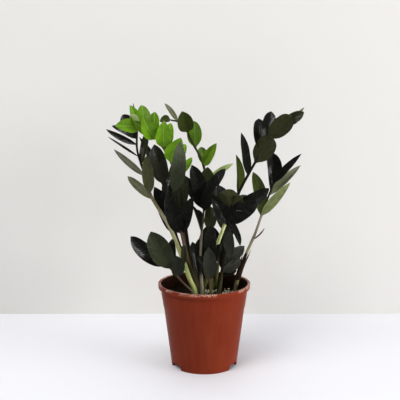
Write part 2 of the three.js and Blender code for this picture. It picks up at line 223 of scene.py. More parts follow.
# %% [markdown]
# ## Table, backdrop and light
# The plant stands on a white table, 300 mm in front of a pale wall, whose foot shows as a soft line. The
# wall can only be seen from its front, so the plant can be looked at from behind as well.
# Three wide lights far off shade the matt surfaces: one from the front left and above, one low on the right,
# which brightens that side of the pot, and the ceiling. A dark waxed leaf shows whatever it mirrors, so
# these lights and the table stay out of its reflections. Four small lights in a dim room make the glints
# instead.

# %% Table and wall
WALL_Y, WALL_SIZE = 300, 1100
TABLE_SIZE = 6000
TABLE_WHITE, WALL_WHITE = "#DFE0E6", "#D1D0CD"
ROLLER_PATCH = 1000 / 3  # mm

only()
bpy.ops.mesh.primitive_plane_add(size=TABLE_SIZE * MM)
table = bpy.context.object
table.name = "table_top"
table.visible_glossy = False
only()
centre = (0, WALL_Y * MM, WALL_SIZE / 2 * MM)
bpy.ops.mesh.primitive_plane_add(size=WALL_SIZE * MM, location=centre, rotation=(math.pi / 2, 0, 0))
wall = place_applied()
wall.name = "wall"


def white_paint(name, web_colour, roughness):
    """Matt wall paint: a flat pale colour with the faintest unevenness of a roller. Also gives its shader."""
    paint = new_material(name)
    where = add(paint, "TexCoord", out="Object")
    cloud = mottled(paint, where, ROLLER_PATCH * MM, 3)
    tone = add(paint, "MapRange", {"Value": cloud, "From Min": 0.3, "From Max": 0.7, "To Min": 0.985})
    shade = add(paint, "HueSaturation", {"Color": linear(web_colour), "Value": tone})
    return paint, add(paint, "BsdfPrincipled", {"Base Color": shade, "Roughness": roughness})


paint, shader = white_paint("table_matt_white", TABLE_WHITE, 0.6)
add(paint, "OutputMaterial", {"Surface": shader})
dressed(table, paint)

paint, shader = white_paint("wall_matt_paint", WALL_WHITE, 0.9)
behind = add(paint, "NewGeometry", out="Backfacing")
nothing = add(paint, "BsdfTransparent")
one_sided = add(paint, "MixShader", {0: behind, 1: shader, 2: nothing})
add(paint, "OutputMaterial", {"Surface": one_sided})
dressed(wall, paint)
print(table.name, "and", wall.name, "painted")

# %% Lights
GLINT_SIZE = 260
GLINTS = [  # place in mm, watts
    ((-1100, -1100, 2300), 6), ((-900, -1500, 1200), 2), ((1700, -1100, 700), 3), ((400, -900, 2300), 4),
]


def soft_light(name, place_mm, aim_height, size_mm, watts, web_colour="#FFFFFF", glint=False):
    """An area light aimed at the pot's axis. It lights matt surfaces only, or else makes glints only."""
    data = bpy.data.lights.new(name, "AREA")
    data.shape = "RECTANGLE"
    data.size, data.size_y = (s * MM for s in size_mm)
    data.energy = watts
    data.color = linear(web_colour)[:3]
    light = bpy.data.objects.new(name, data)
    light.location = Vector(place_mm) * MM
    light.rotation_euler = (Vector((0, 0, aim_height)) - Vector(place_mm)).to_track_quat("-Z", "Y").to_euler()
    light.visible_glossy = glint
    light.visible_diffuse = not glint
    bpy.context.scene.collection.objects.link(light)


soft_light("key_left", (-2500, -3000, 4700), 200, (3000, 3000), 198, "#FFFDFA")
soft_light("window_right", (4650, -1900, 800), 200, (3300, 1500), 260)
soft_light("ceiling", (0, -200, 4800), 0, (5000, 5000), 120)
for spot, watts in GLINTS:
    soft_light("glint", spot, 250, (GLINT_SIZE, GLINT_SIZE), watts, glint=True)

# %% The room that surrounds it, dim where a leaf mirrors it and pale behind the table
ROOM_LIGHT, MIRRORED_LIGHT = 0.47, 0.1  # how bright matt surfaces and reflections find the room
ROOM_WHITE, BACKDROP_WHITE = "#E8E7E5", "#E4E3E1"

world = bpy.data.worlds.new("dim_room")
world.use_nodes = True
world.node_tree.nodes.clear()
mirrored = add(world, "LightPath", out="Is Glossy Ray")
looked_at = add(world, "LightPath", out="Is Camera Ray")
strength = add(world, "MapRange", {"Value": mirrored, "To Min": ROOM_LIGHT, "To Max": MIRRORED_LIGHT})
room = add(world, "Background", {"Color": linear(ROOM_WHITE), "Strength": strength})
backdrop = add(world, "Background", {"Color": linear(BACKDROP_WHITE)})
seen = add(world, "MixShader", {0: looked_at, 1: room, 2: backdrop})
add(world, "OutputWorld", {"Surface": seen})
bpy.context.scene.world = world
print(len(GLINTS) + 3, "lights, and a dim room")

# %% [markdown]
# ## The nursery pot
# Nursery pots are injection moulded from polypropylene: a thin tapered wall, a shoulder and a straight band
# that let them nest, a rolled lip to hold them by, and a foot ring with drainage notches. Turned on a lathe
# in one go is how such a shape is drawn, so here one ring is extruded from station to station along the
# section and closed on itself. The corners then get a small moulded rounding, and three rounded blocks cut
# the notches.

# %% Pot dimensions, in mm
POT_HEIGHT = 155
RIM_RADIUS = 85
LIP_HEIGHT, LIP_TOP_WIDTH, LIP_ROUND = 8, 2.4, 1.5
BAND_RADIUS, BAND_BOTTOM = 79.3, 136
SHOULDER_RADIUS, SHOULDER_HEIGHT = 74.7, 110
SHOULDER_STEP, SHOULDER_RISE = 0.9, 2  # the band above the shoulder stands out by a little
FOOT_RADIUS, FOOT_WIDTH, FOOT_SLOPE = 60.7, 3.7, 1.5
WALL = 2
FLOOR_UNDERSIDE, FLOOR_THICKNESS, FLOOR_CORNER = 4, 2.5, 1
NOTCH_ANGLES = (-59, 64, 184)  # degrees round from the front towards +X
NOTCH_WIDTH, NOTCH_HEIGHT, NOTCH_DEPTH, NOTCH_ROUND = 31, 9, 16, 3
POT_SIDES = 128

LIP_BOTTOM = POT_HEIGHT - LIP_HEIGHT
LIP_INSIDE = RIM_RADIUS - 1.5 * LIP_ROUND - LIP_TOP_WIDTH
FLOOR_TOP = FLOOR_UNDERSIDE + FLOOR_THICKNESS
POT_SECTION = [  # radius, height
    (FOOT_RADIUS - FOOT_WIDTH - FOOT_SLOPE, FLOOR_UNDERSIDE),
    (FOOT_RADIUS - FOOT_WIDTH, 0),
    (FOOT_RADIUS, 0),
    (SHOULDER_RADIUS, SHOULDER_HEIGHT),
    (SHOULDER_RADIUS + SHOULDER_STEP, SHOULDER_HEIGHT + SHOULDER_RISE),
    (BAND_RADIUS, BAND_BOTTOM),
    (BAND_RADIUS, LIP_BOTTOM),
    (RIM_RADIUS, LIP_BOTTOM),
    (RIM_RADIUS, POT_HEIGHT),
    (LIP_INSIDE, POT_HEIGHT),
    (BAND_RADIUS - WALL, LIP_BOTTOM - LIP_ROUND),
    (BAND_RADIUS - WALL, BAND_BOTTOM),
    (SHOULDER_RADIUS - WALL, SHOULDER_HEIGHT),
    (FOOT_RADIUS - WALL + FLOOR_CORNER, FLOOR_TOP + FLOOR_CORNER),
    (FOOT_RADIUS - WALL, FLOOR_TOP),
]


# %% Turning the pot
def turned(name, section, sides):
    """Extrudes a ring along a section of [radius, height] in mm, and closes both ends at the axis."""
    only()
    radius, height = section[0]
    bpy.ops.mesh.primitive_circle_add(vertices=sides, radius=radius * MM, location=(0, 0, height * MM))
    piece = place_applied()
    piece.name = name
    bpy.ops.object.mode_set(mode="EDIT")
    bpy.ops.mesh.select_all(action="SELECT")
    for next_radius, next_height in section[1:]:
        rise = (0, 0, (next_height - height) * MM)
        bpy.ops.mesh.extrude_region_move(TRANSFORM_OT_translate={"value": rise})
        grow = next_radius / radius
        bpy.ops.transform.resize(value=(grow, grow, 1), center_override=(0, 0, next_height * MM))
        radius, height = next_radius, next_height
    for end_radius, end_height in (section[-1], section[0]):
        select_vertices(
            lambda co: abs(co.z - end_height * MM) < 1e-5 and abs(co.xy.length - end_radius * MM) < 1e-5
        )
        bpy.ops.mesh.extrude_region_move()
        bpy.ops.mesh.merge(type="CENTER")
    made_whole(piece)
    return piece


pot = turned("nursery_pot", POT_SECTION, POT_SIDES)
modified(
    pot, "BEVEL", width=LIP_ROUND * 0.8 * MM, segments=3, limit_method="ANGLE", angle_limit=math.radians(25)
)
print("pot turned with", len(pot.data.vertices), "points")


# %% Cutting the drainage notches
def notch_block(degrees):
    """A block with rounded corners across the foot ring, at an angle round from the front."""
    only()
    bpy.ops.mesh.primitive_cube_add(size=1, location=(0, -FOOT_RADIUS * MM, 0))
    block = bpy.context.object
    block.scale = (NOTCH_WIDTH * MM, 2 * NOTCH_DEPTH * MM, 2 * NOTCH_HEIGHT * MM)
    place_applied()
    block.rotation_euler = (0, 0, math.radians(degrees))
    place_applied()
    return modified(block, "BEVEL", width=NOTCH_ROUND * MM, segments=4)


for degrees in NOTCH_ANGLES:
    block = notch_block(degrees)
    modified(pot, "BOOLEAN", operation="DIFFERENCE", solver="EXACT", object=block)
    bpy.data.objects.remove(block)
smoothed(pot, 28)
print(len(NOTCH_ANGLES), "notches cut")

# %% [markdown]
# ## Moulded polypropylene
# The plastic is a terracotta-coloured polypropylene, satin from the mould. Up close its skin has a fine
# orange peel of about a millimetre, faint upright flow lines, and a bloom of lime and dust where hard water
# dried on the lip. It scatters light at grazing angles, so its edges look pale, which a little sheen gives.
# Its IOR is 1.49. The inside is painted darker, as painted shade for the shadow within the pot, with darker
# mottles and flecks of soil dust on it.

# %% Plastic for the pot
POT_BROWN, POT_WARM = "#6E2511", "#7E341A"
LIME_BLOOM, EDGE_SHEEN = "#D8B7A4", "#FFE9E2"
SKIN_GRAIN, SPECK, FLOW_LINE, BLOTCH, BLOOM_PATCH = 1.2, 1.6, 9, 45, 16  # mm across

plastic = new_material("polypropylene_terracotta_moulded")
where = add(plastic, "TexCoord", out="Object")
height = add(plastic, "SeparateXYZ", {"Vector": where}, out="Z")
flow = mottled(plastic, where, FLOW_LINE * MM, 2, (1, 1, 0.06))
broad = mottled(plastic, where, BLOTCH * MM, 4)
colour = tinted(plastic, linear(POT_BROWN), linear(POT_WARM), flow, 0.35, 0.7, 0.35)
colour = tinted(plastic, colour, linear(POT_WARM), broad, 0.45, 0.75, 0.3)
specks = mottled(plastic, where, SPECK * MM, 1)
specks = add(plastic, "MapRange", {"Value": specks, "From Min": 0.52, "From Max": 0.6})
patches = mottled(plastic, where, BLOOM_PATCH * MM, 2)
patches = add(plastic, "MapRange", {"Value": patches, "From Min": 0.45, "From Max": 0.55})
on_lip = add(
    plastic, "MapRange",
    {"Value": height, "From Min": (LIP_BOTTOM + 3) * MM, "From Max": (POT_HEIGHT - 1.5) * MM},
)
bloom = add(plastic, "Math", {0: specks, 1: patches}, operation="MULTIPLY")
bloom = add(plastic, "Math", {0: bloom, 1: on_lip}, operation="MULTIPLY")
colour = tinted(plastic, colour, linear(LIME_BLOOM), bloom, 0, 1)
peel = mottled(plastic, where, SKIN_GRAIN * MM, 2)
skin = add(plastic, "Bump", {"Height": peel, "Strength": 0.12, "Distance": 0.2 * MM})
lines = add(plastic, "Bump", {"Height": flow, "Normal": skin, "Strength": 0.15, "Distance": 0.6 * MM})
rough = add(
    plastic, "MapRange",
    {"Value": broad, "From Min": 0.3, "From Max": 0.7, "To Min": 0.36, "To Max": 0.48},
)
finished(plastic, {
    "Base Color": colour, "Roughness": rough, "Normal": lines, "IOR": 1.49, "Specular IOR Level": 0.1,
    "Sheen Weight": 0.22, "Sheen Roughness": 0.35, "Sheen Tint": linear(EDGE_SHEEN),
})

# %% The same plastic inside, darkened with painted shade, with soil dust on it
# The inside's dark ground colour is painted shade for the shadow within the pot; the pale flecks are soil
# dust.
POT_INSIDE_SHADE, POT_STAIN, POT_DUST = "#2A140D", "#120906", "#5A4536"
STAIN_SIZE = 12  # mm

shaded_inside = new_material("polypropylene_inside_painted_shade_and_dust")
where = add(shaded_inside, "TexCoord", out="Object")
stain = mottled(shaded_inside, where, STAIN_SIZE * MM, 5)
colour = tinted(shaded_inside, linear(POT_INSIDE_SHADE), linear(POT_STAIN), stain, 0.35, 0.65)
dust = mottled(shaded_inside, where, SPECK * MM, 2)
colour = tinted(shaded_inside, colour, linear(POT_DUST), dust, 0.6, 0.7, 0.5)
finished(shaded_inside, {"Base Color": colour, "Roughness": 0.7, "Specular IOR Level": 0.05})

dressed(pot, plastic, shaded_inside)
# The inward faces of the wall, above the floor, take the inside's painted shade.
for face in pot.data.polygons:
    inwards = face.normal.xy.dot(face.center.xy.normalized()) < -0.3
    face.material_index = int(inwards and FLOOR_TOP * MM < face.center.z < (POT_HEIGHT - 1) * MM)
fitted(pot, ["pot"])

# %% [markdown]
# ## Potting mix
# The mix is peat and fine bark with some perlite, and its top swells by a few millimetres between the stems.
# A turned bed with many rings near the top can carry that relief, which a displacement gives it.

# %% Soil bed
SOIL_TOP, SOIL_EDGE_DROP = 133, 2.5
CLEARANCE = 0.3
EDGE_TOP = SOIL_TOP - SOIL_EDGE_DROP
EDGE_SHARE = (EDGE_TOP - SHOULDER_HEIGHT) / (BAND_BOTTOM - SHOULDER_HEIGHT)
SOIL_EDGE = SHOULDER_RADIUS + (BAND_RADIUS - SHOULDER_RADIUS) * EDGE_SHARE - WALL - CLEARANCE
SOIL_RINGS, SOIL_SIDES = 34, 96
RELIEF = (("lumps", 7, 2.6), ("grit", 2.2, 1.5))  # grain size and height in mm
RELIEF_FROM = 100  # mm up


def soil_height(x, y):
    """Height of the soil's top in mm: a low mound with swells between the stems."""
    share = min(math.hypot(x, y) / SOIL_EDGE, 1)
    swell = math.sin(x / 9 + 1) * math.cos(y / 11) + 0.8 * math.sin((x - y) / 15)
    return EDGE_TOP + SOIL_EDGE_DROP * min(1, (1 - share) * 1.4) + swell * min(1, (1 - share) * 5)


soil_section = [
    (FOOT_RADIUS - WALL - CLEARANCE, FLOOR_TOP + CLEARANCE),
    (SHOULDER_RADIUS - WALL - CLEARANCE, SHOULDER_HEIGHT),
    *[(SOIL_EDGE * (1 - k / SOIL_RINGS), EDGE_TOP + 0.001 * k) for k in range(SOIL_RINGS)],
]
soil = turned("soil_bed", soil_section, SOIL_SIDES)
for vertex in soil.data.vertices:
    if vertex.co.z > (EDGE_TOP - 0.5) * MM:
        vertex.co.z = soil_height(vertex.co.x / MM, vertex.co.y / MM) * MM
top = soil.vertex_groups.new(name="top")
inner = [v for v in soil.data.vertices if v.co.xy.length < (SOIL_EDGE - 2) * MM]
top.add([v.index for v in inner if v.co.z > RELIEF_FROM * MM], 1, "ADD")
for name, size, height in RELIEF:
    grain = bpy.data.textures.new(name, "CLOUDS")
    grain.noise_scale = size * MM
    grain.noise_depth = 2
    modified(
        soil, "DISPLACE", texture=grain, texture_coords="LOCAL", direction="Z", strength=height * MM,
        mid_level=0.5, vertex_group="top",
    )
soil.vertex_groups.clear()
print("soil bed", len(soil.data.vertices), "points")

# %% [markdown]
# ## Peat, bark and perlite
# Damp peat is nearly black-brown and has no gloss. Fibres and bark chips of a millimetre or two are a little
# paler. Perlite and dry peat are pale tan, and take the same recipe with other colours and a finer grain.

# %% Soil materials
SOIL_DARK, SOIL_BROWN, SOIL_FIBRE = "#0E0906", "#1C120B", "#3A2A1C"
CRUMB_TAN, CRUMB_PALE, CRUMB_FIBRE = "#B8A98C", "#E9E1CC", "#F0EADB"


def potting_mix(name, ground, clump, fibre, grain):
    """Growing medium: the ground, clumps of another tone, thin paler fibres, and grit in mm."""
    mix = new_material(name)
    where = add(mix, "TexCoord", out="Object")
    clumps = mottled(mix, where, 4 * grain * MM, 5)
    colour = tinted(mix, linear(ground), linear(clump), clumps, 0.35, 0.65)
    threads = mottled(mix, where, grain * MM, 4, distortion=2.5)
    colour = tinted(mix, colour, linear(fibre), threads, 0.6, 0.68, 0.8)
    chips = add(mix, "TexVoronoi", {"Vector": where, "Scale": 1 / (grain * MM)})
    grit = add(mix, "Bump", {"Height": chips, "Strength": 0.8, "Distance": 0.8 * MM})
    inputs = {"Base Color": colour, "Normal": grit, "Roughness": 0.95, "Specular IOR Level": 0.05}
    return finished(mix, inputs)


peat = potting_mix("peat_and_bark_damp", SOIL_DARK, SOIL_BROWN, SOIL_FIBRE, 1.4)
pale_mix = potting_mix("perlite_and_dry_peat", CRUMB_TAN, CRUMB_PALE, CRUMB_FIBRE, 0.8)
dressed(soil, peat)
fitted(soil, ["soil"])

# %% [markdown]
# ## Loose crumbs
# Crumbs lie loose all over the soil. They are one rough lump that is copied, turned, squeezed and half sunk
# hundreds of times. In two patches between the stems the crumbs are perlite and dry peat.

# %% Loose crumbs
CRUMBS, CRUMB_SIZES = 430, (2, 2.5, 3, 4.5)
PALE_CRUMBS, PALE_SIZES = 150, (2, 2.8, 4)
PALE_PATCHES = ((43, 6, 10, 8), (9, 8, 15, 10))  # x, its spread, y, its spread
chance = random.Random(11)


def crumb(master, x, y, size, colour_index):
    """A copy of the lump, turned and squeezed at random, half sunk in the soil."""
    piece = own_copy(master)
    angle = chance.uniform(0, 6.3)
    turn = Matrix.Rotation(angle, 4, Vector([chance.uniform(-1, 1) for _ in range(3)]).normalized())
    stretch = Matrix.Diagonal([size * chance.uniform(0.6, 1.4) for _ in range(2)] + [size * 0.7, 1])
    lift = Matrix.Translation(Vector((x, y, soil_height(x, y) + 0.1 * size)) * MM)
    piece.data.transform(lift @ Matrix.Scale(MM, 4) @ turn @ stretch)
    for face in piece.data.polygons:
        face.material_index = colour_index
    return piece


only()
bpy.ops.mesh.primitive_ico_sphere_add(subdivisions=1, radius=0.5)
lump = bpy.context.object
dressed(lump, peat, pale_mix)
for vertex in lump.data.vertices:
    vertex.co *= chance.uniform(0.75, 1.2)
crumbs = []
for k in range(CRUMBS):
    angle, reach = chance.uniform(0, 2 * math.pi), SOIL_EDGE * math.sqrt(chance.random()) * 0.985
    x, y = reach * math.cos(angle), reach * math.sin(angle)
    crumbs.append(crumb(lump, x, y, chance.choice(CRUMB_SIZES), 0))
for k in range(PALE_CRUMBS):
    x, x_spread, y, y_spread = PALE_PATCHES[min(k % 3, 1)]
    x, y = chance.gauss(x, x_spread), chance.gauss(y, y_spread)
    crumbs.append(crumb(lump, x, y, chance.choice(PALE_SIZES), 1))
bpy.data.objects.remove(lump)
fitted(joined("soil_crumbs", crumbs))

# %% [markdown]
# ## Rhizomes
# Under the soil the plant stands in a clump of water-storing tubers, much like small potatoes. They don't
# show, and their solids are right as they are, so they keep them and only get a skin: thin tan cork with
# darker lenticels.

# %% Cork skin for the rhizomes
CORK_DARK, CORK_TAN, LENTICEL = "#7A6242", "#A38A5F", "#4E3B26"
CORK_PATCH, LENTICEL_STEP = 9, 3.5  # mm

cork = new_material("rhizome_cork_skin")
where = add(cork, "TexCoord", out="Object")
patch = mottled(cork, where, CORK_PATCH * MM, 5)
pores = add(cork, "TexVoronoi", {"Vector": where, "Scale": 1 / (LENTICEL_STEP * MM)})
colour = tinted(cork, linear(CORK_DARK), linear(CORK_TAN), patch, 0.35, 0.7)
colour = tinted(cork, colour, linear(LENTICEL), pores, 0.18, 0.08)
skin = add(cork, "Bump", {"Height": patch, "Strength": 0.5, "Distance": 1 * MM})
finished(cork, {"Base Color": colour, "Normal": skin, "Roughness": 0.85})
for name in ("rhizome_clump", "rhizome_front", "rhizome_back", "rhizome_right"):
    dressed(NODES[name], cork)
print("rhizomes keep their solids, with a cork skin")

# %% [markdown]
# ## The colours of the leaflets
# In this dark form of the plant each leaflet opens lime green and turns through olive to nearly black over
# some months, so the leaflets differ in colour by age. Each tone below gives the upper face and the
# underside, which is mostly duller and paler. A third colour, where one is given, is painted sheen: the
# reflected light that the upper face shows towards its tip. The colour goes onto each leaflet as an
# attribute of its points, so that one recipe serves every age.

# %% Tones of leaflets and stems
# The third colour of a tone is painted sheen towards the tip of the upper face.
TONES = {  # upper face, underside, tip
    "black": ("#090A06", "#2A2B16"),
    "dark": ("#10120B", "#2F3119"),
    "deep": ("#1B1D14", "#33351F"),
    "brown_black": ("#24241A", "#35341F"),
    "dark_olive": ("#22270F", "#353A1B"),
    "olive": ("#3E4024", "#45472A"),
    # The pale grey tip colour of this tone is painted sheen, the light that the glossy tip mirrors.
    "grey_green": ("#2E3421", "#42472E", "#525A45"),
    "slate": ("#292B22", "#383A29"),
    "slate_green": ("#262B18", "#383D27"),
    # A grey tone that is painted sheen on glossy dark leaflets.
    "dusty": ("#42433A", "#484A38"),
    "grey_olive": ("#62654A", "#66694D"),
    "grey": ("#606250", "#646655"),
    "pale": ("#7E8956", "#8B9670"),
    "moss": ("#35400E", "#464B20"),
    "olive_green": ("#384317", "#4A5527"),
    "green": ("#4A6A0C", "#526C1C"),
    "light_green": ("#5A7626", "#6C843C"),
    "mid_lime": ("#5C800F", "#5F7E20"),
    "lime": ("#608B0E", "#71952A"),
    "lime_bright": ("#5B8313", "#6F9228"),
    "lime_pale": ("#86985A", "#8FA368"),
    "dry": ("#4B3B29", "#4B3B29"),
}
STEM_TONES = {
    "pale_green": "#A9BA6C", "cream_green": "#BBBD78", "grey_tan": "#938D70", "yellow_green": "#C2CA87",
    "brownish": "#77704E", "olive": "#575A30", "dark_olive": "#3A3722", "brown": "#41342A",
    "pinkish": "#66503F", "taupe": "#7D7563", "green": "#5A6A2C", "tan": "#746650", "near_black": "#1E1C14",
}
print(len(TONES), "tones of leaflets,", len(STEM_TONES), "of stems")

# %% [markdown]
# ## The fronds
# Each frond is written down as it was read off. stem holds [x, z, y] from the soil up, thick the diameter at
# the soil and at the end, and skin the colour of the stem at some heights. Each leaflet is [tone, x, z where
# it leaves the stem, x, z of its tip, how far the tip leans back, width, turn about its own length, sideways
# bow]. A turn of 0 shows the upper face, 180 the underside, and a turn or bow of 0 at the end of a row is
# left out.

# %% Readings of every frond
FRONDS = {}
FRONDS["frond_left_pale"] = dict(
    slot="leaf_dark", thick=[10, 3],
    stem=[
        [-17, 138, -35], [-26, 160, -37], [-40, 200, -40], [-64, 260, -44], [-98, 320, -48],
        [-111, 366, -50], [-121, 402, -50], [-120, 440, -48],
    ],
    skin=[
        [130, "pale_green"], [175, "cream_green"], [190, "pale_green"], [222, "cream_green"],
        [262, "grey_tan"], [285, "grey_tan"], [310, "brownish"], [335, "brown"], [350, "near_black"],
    ],
    leaves=[
        ["grey_olive", -93, 311, -139, 353, 24, 16, 25, 2], ["grey", -108, 353, -163, 402, 26, 12, 20, 2],
        ["black", -119, 388, -174, 425, 10, 4.5, 10], ["dark", -121, 410, -176, 438, 26, 11, -10],
        ["dark", -121, 421, -166, 444, 2, 13, 10, -3], ["black", -121, 425, -146, 464, 14, 24],
        ["dark", -120, 438, -122, 462, 10, 12, 40], ["olive", -98, 322, -104, 391, -10, 21],
        ["dark_olive", -112, 375, -100, 440, 22, 15, -30, -2], ["black", -121, 425, -133, 446, 44, 20],
    ],
)
FRONDS["frond_left_dark"] = dict(
    slot="leaf_dark", thick=[8, 3],
    stem=[[-14, 138, 12], [-32, 190, 10], [-50, 240, 4], [-64, 285, 0], [-74, 340, 0]],
    skin=[[130, "dark_olive"], [200, "near_black"]],
    leaves=[
        ["black", -51, 245, -91, 334, -16, 31, 0, -4],
        ["brown_black", -71, 345, -90, 411, -12, 31, 10, 1.5], ["black", -72, 347, -117, 424, 32, 16, 30],
        ["dark", -76, 310, -58, 352, 26, 24, -20], ["black", -74, 285, -50, 318, -18, 22, -25],
        ["dark", -73, 340, -79, 370, 44, 24],
    ],
)
FRONDS["frond_lime"] = dict(
    slot="leaf_lime", thick=[8.5, 3],
    stem=[
        [-10, 138, -12], [-20, 180, -18], [-30, 228, -32], [-38, 290, -54], [-50, 350, -72],
        [-70, 398, -80], [-97, 431, -82], [-130, 448, -80],
    ],
    skin=[[130, "dark_olive"], [240, "near_black"], [345, "near_black"], [390, "green"]],
    leaves=[
        ["lime_bright", -116, 444, -133, 481, -10, 17, 25],
        ["lime_bright", -106, 438, -112, 481, 16, 24, 15], ["lime", -90, 426, -88, 469, 14, 23, -15],
        ["lime", -76, 405, -72, 453, -16, 27, 5], ["lime", -69, 397, -60, 449, 18, 24, -20],
        ["lime", -58, 378, -42, 423, -14, 30, 5, 4], ["lime", -55, 374, -33, 411, 14, 22, -15],
        ["lime_bright", -116, 442, -160, 444, -22, 25, 20], ["lime", -52, 353, -22, 387, 16, 15, -25, -3],
        ["dark_olive", -38, 300, -36, 357, -10, 19], ["lime", -87, 421, -110, 461, -22, 27, 10, 3],
        ["green", -93, 427, -127, 452, -8, 19, 10], ["lime_pale", -118, 443, -131, 464, -18, 14, 165],
        ["olive_green", -122, 447, -127.5, 485, 14, 4, 30], ["lime", -75, 404, -74, 432, 46, 22],
        ["lime", -94, 428, -103, 450, 42, 20, -10],
    ],
)
FRONDS["frond_middle_left"] = dict(
    slot="leaf_grey_green", thick=[8, 3.5],
    stem=[[-12, 138, -22], [-25, 180, -27], [-38, 230, -56], [-48, 280, -82], [-56, 325, -98]],
    skin=[
        [130, "dark_olive"], [190, "dark_olive"], [215, "pinkish"], [245, "pinkish"], [290, "near_black"],
    ],
    leaves=[
        ["grey_green", -56, 325, -43, 417, -18, 26, -10, -5], ["dark", -38, 250, -21, 315, -34, 24, -15],
        ["black", -46, 254, -70, 315, 14, 24, 20], ["black", -42, 248, -66, 328, -46, 27, 10, 5],
        ["dark_olive", -40, 228, -38, 186, -8, 10],
    ],
)
FRONDS["frond_green"] = dict(
    slot="leaf_green", thick=[9, 3],
    stem=[
        [14, 138, 22], [10, 200, 28], [4, 290, 40], [-1, 371, 50], [-22, 415, 54], [-40, 448, 56],
        [-62, 455, 56],
    ],
    skin=[[130, "olive"], [280, "brown"], [345, "dark_olive"], [400, "dark_olive"], [440, "near_black"]],
    leaves=[
        ["grey_olive", -47, 456, -71, 484, 10, 10, 25],
        ["olive_green", -61, 455, -80, 452, -14, 14, 10, -3], ["moss", -35, 431, -40, 470, -26, 30, 5],
        ["green", -15, 406, -19, 453, 22, 28], ["mid_lime", 0, 372, 22, 413, -24, 20, -15],
        ["light_green", -2, 374, -6, 406, 24, 20, 15], ["olive_green", 2, 325, 6, 370, -20, 28],
        ["lime_pale", 2, 340, 52, 376, 20, 14, -30], ["moss", -35, 431, -38, 452, 44, 22],
        ["green", 0, 374, 9, 397, 48, 20],
    ],
)
FRONDS["frond_middle"] = dict(
    slot="leaf_dark", thick=[7, 3],
    stem=[[-4, 138, -38], [-6, 180, -40], [-6, 230, -42], [-1, 290, -46], [0, 312, -46]],
    # The near-black band of the stem from 184 to 208 mm is painted shade where the leaflets in front shadow
    # it.
    skin=[
        [130, "olive"], [148, "taupe"], [172, "taupe"], [184, "near_black"], [208, "near_black"],
        [218, "taupe"], [240, "taupe"], [280, "dark_olive"],
    ],
    leaves=[
        ["black", -2, 303, -23, 374, -18, 27, 15], ["black", -2, 292, -41, 355, 14, 22, 20],
        ["dark", 1, 290, 24, 356, -16, 24, -15], ["black", 0, 310, 38, 367, 22, 20, -25],
        ["dark", -6, 250, -22, 300, -10, 12, 50], ["dark", -4, 262, -12, 292, 12, 12, 45],
        ["black", -6, 200, 6, 262, 14, 18, -20], ["black", -6, 168, 4, 214, 12, 16, -20],
    ],
)
FRONDS["frond_middle_right"] = dict(
    slot="leaf_dark", thick=[7.5, 3.5],
    stem=[[28, 138, -30], [33, 180, -44], [42, 230, -66], [48, 290, -86], [50, 308, -90]],
    skin=[[130, "olive"], [190, "near_black"]],
    leaves=[
        ["black", 46, 262, 24, 338, 8, 33, 10, 4], ["dark", 50, 296, 30, 325, -22, 30, 165, 4],
        ["dark", 50, 300, 69, 313, -20, 18, 170], ["black", 52, 292, 118, 331, 4, 24, -10, -4],
        ["black", 50, 268, 98, 305, -22, 32, -10, 4], ["black", 47, 272, 66, 224, -12, 13, -40],
        ["slate", 44, 256, 50, 206, 4, 20, 20], ["black", 49, 286, 68, 306, 46, 24],
    ],
)
FRONDS["frond_right_tall"] = dict(
    slot="leaf_olive", thick=[8.5, 3],
    stem=[
        [-4, 133, 4], [4, 160, 2], [23, 224, -6], [50, 295, -16], [70, 338, -22], [91, 377, -26],
        [117, 424, -30], [147, 453, -32],
    ],
    skin=[
        [130, "olive"], [200, "olive"], [224, "yellow_green"], [262, "yellow_green"], [285, "dark_olive"],
        [320, "near_black"],
    ],
    leaves=[
        ["moss", 63, 318, 57, 392, 20, 18, 35, -3], ["dark", 76, 356, 66, 432, -18, 19, 35, 3],
        ["dark", 91, 378, 121, 425, -20, 37, 168], ["black", 103, 398, 97, 457, 36, 25, 5],
        ["black", 112, 411, 119, 470, 22, 25], ["dark", 117, 420, 156, 462, -24, 33, 170],
        ["grey_olive", 145, 449, 178, 477, 8, 9, 30], ["dark_olive", 141, 443, 178, 469, -12, 20, -5],
        ["dark", 91, 378, 105, 402, 46, 24], ["dark", 117, 421, 133, 441, 44, 24],
    ],
)
FRONDS["frond_right_outer"] = dict(
    slot="leaf_dark", thick=[8.5, 3],
    stem=[[57, 138, 2], [70, 190, 4], [93, 247, 8], [108, 292, 11], [126, 342, 14]],
    skin=[
        [130, "brownish"], [195, "brownish"], [212, "grey_tan"], [232, "taupe"], [275, "taupe"],
        [300, "near_black"],
    ],
    leaves=[
        ["pale", 103, 281, 156, 342, -20, 17, -15], ["grey_olive", 116, 318, 174, 373, 20, 15, -20],
        ["black", 126, 342, 175, 394, -18, 14, -25], ["black", 126, 342, 120.5, 397, 12, 26, 0, -4],
        ["dark", 118, 326, 112, 386, 16, 5, 20], ["moss", 104, 280, 88, 361, 18, 24, 10, -4],
        ["dry", 89, 236, 110, 257, -4, 5, 50], ["black", 120, 330, 130, 358, 42, 22],
    ],
)
FRONDS["frond_low_left"] = dict(
    slot="leaf_grey_green", thick=[5, 3.5],
    stem=[[-22, 136, -50], [-30, 145, -54], [-46, 162, -66], [-66, 187, -80]],
    skin=[[130, "tan"], [170, "brown"]],
    leaves=[
        ["black", -66, 187, -135, 242, 18, 28, 10, 5], ["slate_green", -64, 185, -98, 251, -16, 39, 5],
        ["black", -58, 178, -58, 238, 10, 18, -20], ["deep", -50, 165, -52, 206, -12, 25, 20],
        ["black", -61, 182, -80, 212, 44, 24],
    ],
)
